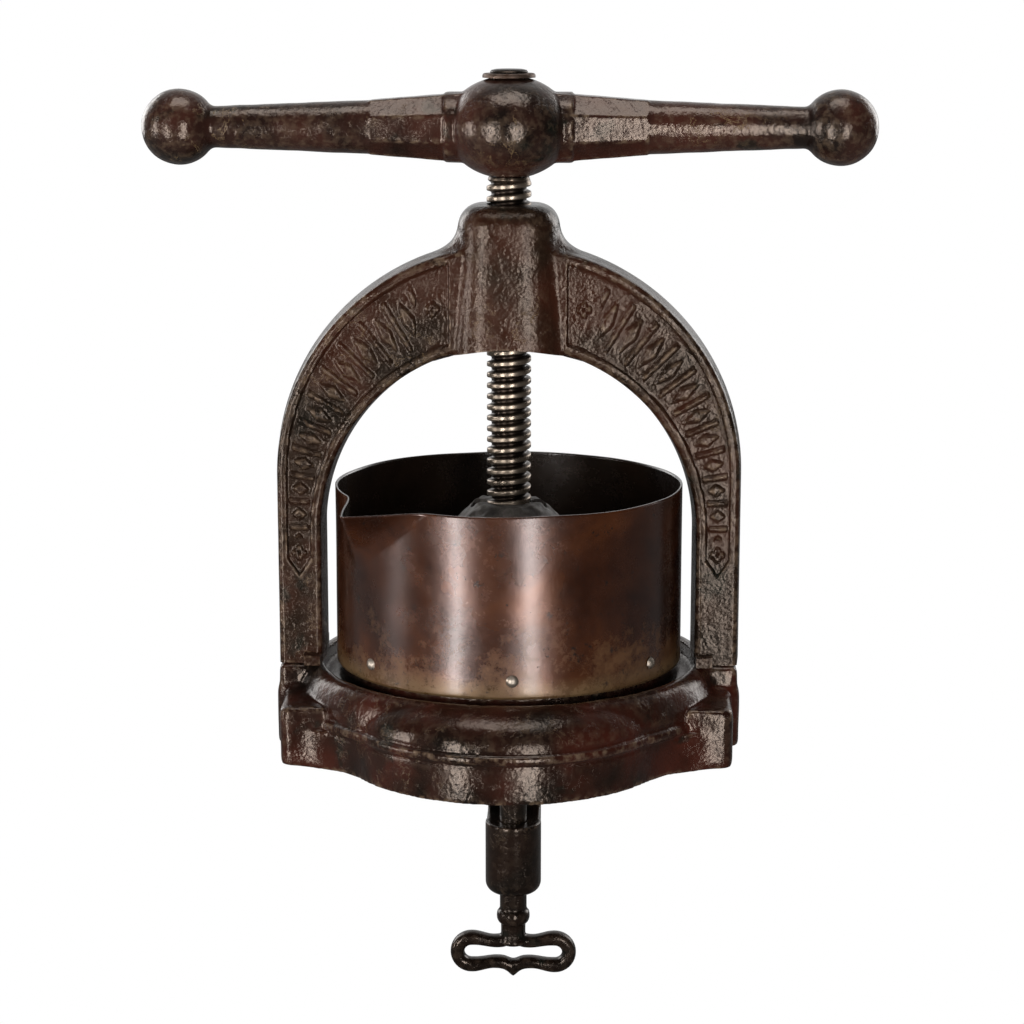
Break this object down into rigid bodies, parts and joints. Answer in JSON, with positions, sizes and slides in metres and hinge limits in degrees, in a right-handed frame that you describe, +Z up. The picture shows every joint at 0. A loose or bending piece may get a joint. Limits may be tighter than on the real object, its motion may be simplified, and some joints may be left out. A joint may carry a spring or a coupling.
{
  "type": "screw juice press",
  "caption": "Bench-clamped cast screw press for juice: arch on a bow-fronted base, T-handle screw, follower, and a sheet drum with a pouring lip.",
  "frame": {"origin": "the press screw's axis at the base casting's underside, where it stands on the bench", "axes": "+Z up along the screw, -Y to the front with the pouring lip, X along the handle at rest; +Y is the side with the bench clamp"},
  "size_m": [0.2386, 0.1657, 0.3335],
  "materials": {
    "japanned_iron": "worn brown japan over sand-cast iron, glossy with rough grain",
    "black_iron": "black-brown japan, glossy",
    "grey_iron": "bare rough grey casting, matt",
    "screw_steel": "bare oiled steel with dark thread roots",
    "steel": "dull steel",
    "tinned_sheet": "oxidised tinned sheet with copper-brown patina"
  },
  "bodies": {
    "frame": {"base_casting": "japanned_iron", "arch_frame": "japanned_iron", "arch_foot_screws": "steel", "clamp_bracket": "black_iron", "clamp_bracket_screws": "steel"},
    "follower": {"follower_casting": "grey_iron", "follower_plate": "grey_iron", "follower_rivets": "steel", "follower_keeper": "steel", "keeper_pin": "steel", "thrust_button": "steel"},
    "spindle": {"press_screw": "screw_steel", "t_handle": "japanned_iron", "handle_washer": "steel"},
    "drum": {"drum_shell": "tinned_sheet", "drum_bottom": "tinned_sheet", "drum_rivets": "steel", "strainer_wall": "tinned_sheet", "strainer_floor": "tinned_sheet", "strainer_ring": "tinned_sheet", "strainer_feet": "tinned_sheet"},
    "clamp_foot": {"clamp_pad": "black_iron"},
    "thumbscrew": {"clamp_screw": "black_iron"}
  },
  "joints": [
    {"name": "follower_feed", "type": "slide", "parent": "frame", "child": "follower", "axis": [0, 0, 1], "range_m": [-0.0082, 0.0462]},
    {"name": "screw_turn", "type": "hinge", "parent": "follower", "child": "spindle", "pos_m": [0, 0, 0.1], "axis": [0, 0, 1], "range_deg": [-825, 4625]},
    {"name": "drum_turn", "type": "hinge", "parent": "frame", "child": "drum", "pos_m": [0, 0, 0.03], "axis": [0, 0, 1], "range_deg": [-18, 95]},
    {"name": "clamp_feed", "type": "slide", "parent": "frame", "child": "clamp_foot", "axis": [0, 0, 1], "range_m": [-0.0335, 0.0057]},
    {"name": "clamp_turn", "type": "hinge", "parent": "clamp_foot", "child": "thumbscrew", "pos_m": [0, 0.06, -0.05], "axis": [0, 0, 1], "range_deg": [-4830, 825]}
  ],
  "couplings": [
    {"joint": "screw_turn", "follows": "follower_feed", "rad_per_m": 1745.3},
    {"joint": "clamp_turn", "follows": "clamp_feed", "rad_per_m": 2513.3}
  ]
}
